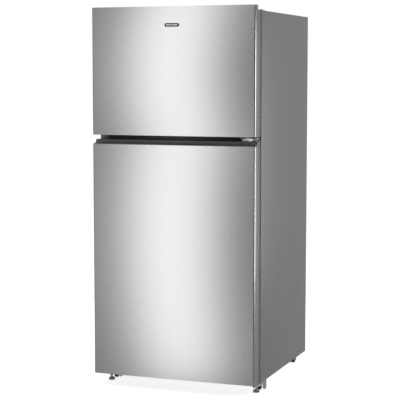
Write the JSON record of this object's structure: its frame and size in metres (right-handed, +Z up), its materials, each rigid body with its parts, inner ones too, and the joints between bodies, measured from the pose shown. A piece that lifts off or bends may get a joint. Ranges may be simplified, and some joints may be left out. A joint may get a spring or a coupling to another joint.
{
  "type": "top freezer refrigerator",
  "caption": "Upright refrigerator with a freezer above, flush steel doors hinged on the right, pocket grips in the gap between them, shelves, bins and crisper drawers inside.",
  "frame": {"origin": "centre of the bounding box, on the floor", "axes": "+X to the viewer's right as the doors are faced, +Y to the back, +Z up"},
  "size_m": [0.756, 0.807, 1.685],
  "materials": {
    "stainless": "satin",
    "painted_grey": "satin",
    "zinc": "satin",
    "galvanised": "matte",
    "white_plastic": "satin",
    "dark_plastic": "matte",
    "black_plastic": "matte",
    "grey_plastic": "satin",
    "clear_plastic": "gloss",
    "frosted_plastic": "satin",
    "glass": "gloss",
    "foam": "matte",
    "rubber": "matte",
    "black_paint": "gloss",
    "copper": "satin",
    "aluminium": "matte"
  },
  "bodies": {
    "cabinet": {"cabinet_wrapper": "painted_grey", "back_panel": "galvanised", "base_pan": "galvanised", "fridge_liner": "white_plastic", "freezer_liner": "white_plastic", "cabinet_foam": "foam", "mullion_rail": "black_paint", "top_hinge": "zinc", "middle_hinge": "zinc", "bottom_hinge": "zinc", "front_bracket_left": "zinc", "upper_shelf_frame": "white_plastic", "upper_shelf_glass": "glass", "lower_shelf_frame": "white_plastic", "lower_shelf_glass": "glass", "crisper_cover": "glass", "control_housing": "white_plastic", "light_lens": "frosted_plastic", "freezer_shelf": "zinc", "evaporator": "aluminium", "evaporator_cover": "white_plastic", "evaporator_fan_motor": "galvanised", "condenser_fan_motor": "galvanised", "compressor": "black_paint", "condenser": "copper", "drip_pan": "black_plastic", "compressor_cover": "black_plastic"},
    "freezer_door": {"freezer_door_skin": "stainless", "freezer_top_cap": "dark_plastic", "freezer_bottom_cap": "black_plastic", "freezer_door_liner": "white_plastic", "freezer_door_foam": "foam", "freezer_gasket": "rubber", "freezer_bin_upper": "clear_plastic", "freezer_bin_lower": "clear_plastic", "badge": "black_plastic"},
    "fridge_door": {"fridge_door_skin": "stainless", "fridge_top_cap": "dark_plastic", "fridge_bottom_cap": "black_plastic", "fridge_door_liner": "white_plastic", "fridge_door_foam": "foam", "fridge_gasket": "rubber", "fridge_bin_upper": "clear_plastic", "fridge_bin_lower": "clear_plastic", "dairy_box": "clear_plastic"},
    "dairy_lid": {"dairy_lid": "frosted_plastic"},
    "crisper_left": {"crisper_left": "clear_plastic"},
    "crisper_right": {"crisper_right": "clear_plastic"},
    "humidity_slider_left": {"humidity_slider_left": "grey_plastic"},
    "humidity_slider_right": {"humidity_slider_right": "grey_plastic"},
    "temperature_dial": {"temperature_dial": "grey_plastic"},
    "light_switch": {"light_switch": "white_plastic"},
    "condenser_fan": {"condenser_fan": "black_plastic"},
    "evaporator_fan": {"evaporator_fan": "white_plastic"},
    "front_roller_left": {"front_roller_left": "black_plastic"},
    "front_roller_right": {"front_roller_right": "black_plastic"},
    "rear_roller_left": {"rear_roller_left": "black_plastic"},
    "rear_roller_right": {"rear_roller_right": "black_plastic"},
    "levelling_foot_left": {"levelling_foot_left": "grey_plastic"},
    "levelling_foot_right": {"levelling_foot_right": "grey_plastic"}
  },
  "joints": [
    {"name": "freezer_door_hinge", "type": "hinge", "parent": "cabinet", "child": "freezer_door", "pos_m": [0.361, -0.35, 1.4], "axis": [0, 0, 1], "range_deg": [0, 120]},
    {"name": "fridge_door_hinge", "type": "hinge", "parent": "cabinet", "child": "fridge_door", "pos_m": [0.361, -0.35, 0.58], "axis": [0, 0, 1], "range_deg": [0, 120]},
    {"name": "dairy_lid_hinge", "type": "hinge", "parent": "fridge_door", "child": "dairy_lid", "pos_m": [0, -0.339, 0.841], "axis": [1, 0, 0], "range_deg": [0, 85]},
    {"name": "crisper_left_slide", "type": "slide", "parent": "cabinet", "child": "crisper_left", "axis": [0, -1, 0], "range_m": [0, 0.25]},
    {"name": "crisper_right_slide", "type": "slide", "parent": "cabinet", "child": "crisper_right", "axis": [0, -1, 0], "range_m": [0, 0.25]},
    {"name": "humidity_left_slide", "type": "slide", "parent": "crisper_left", "child": "humidity_slider_left", "axis": [1, 0, 0], "range_m": [0, 0.06]},
    {"name": "humidity_right_slide", "type": "slide", "parent": "crisper_right", "child": "humidity_slider_right", "axis": [1, 0, 0], "range_m": [0, 0.06]},
    {"name": "temperature_dial_turn", "type": "hinge", "parent": "cabinet", "child": "temperature_dial", "pos_m": [-0.085, -0.3, 1.027], "axis": [0, 1, 0], "range_deg": [0, 270]},
    {"name": "light_switch_press", "type": "slide", "parent": "cabinet", "child": "light_switch", "axis": [0, -1, 0], "range_m": [0, 0.0047]},
    {"name": "condenser_fan_spin", "type": "hinge", "parent": "cabinet", "child": "condenser_fan", "pos_m": [-0.04, 0.285, 0.137], "axis": [1, 0, 0], "continuous": true},
    {"name": "evaporator_fan_spin", "type": "hinge", "parent": "cabinet", "child": "evaporator_fan", "pos_m": [0, 0.283, 1.5], "axis": [0, 1, 0], "continuous": true},
    {"name": "front_roller_left_roll", "type": "hinge", "parent": "cabinet", "child": "front_roller_left", "pos_m": [-0.346, -0.2295, 0.012], "axis": [1, 0, 0], "continuous": true},
    {"name": "rear_roller_left_roll", "type": "hinge", "parent": "cabinet", "child": "rear_roller_left", "pos_m": [-0.33, 0.35, 0.018], "axis": [1, 0, 0], "continuous": true},
    {"name": "levelling_foot_left_turn", "type": "hinge", "parent": "cabinet", "child": "levelling_foot_left", "pos_m": [-0.348, -0.28, 0], "axis": [0, 0, 1], "range_deg": [0, 720]},
    {"name": "front_roller_right_roll", "type": "hinge", "parent": "cabinet", "child": "front_roller_right", "pos_m": [0.346, -0.2295, 0.012], "axis": [1, 0, 0], "continuous": true},
    {"name": "rear_roller_right_roll", "type": "hinge", "parent": "cabinet", "child": "rear_roller_right", "pos_m": [0.33, 0.35, 0.018], "axis": [1, 0, 0], "continuous": true},
    {"name": "levelling_foot_right_turn", "type": "hinge", "parent": "cabinet", "child": "levelling_foot_right", "pos_m": [0.348, -0.28, 0], "axis": [0, 0, 1], "range_deg": [0, 720]}
  ],
  "couplings": [
    {"joint": "crisper_left_slide", "follows": "fridge_door_hinge", "m_per_rad": 0.119},
    {"joint": "crisper_right_slide", "follows": "fridge_door_hinge", "m_per_rad": 0.119},
    {"joint": "light_switch_press", "follows": "fridge_door_hinge", "m_per_rad": 0.0022}
  ]
}
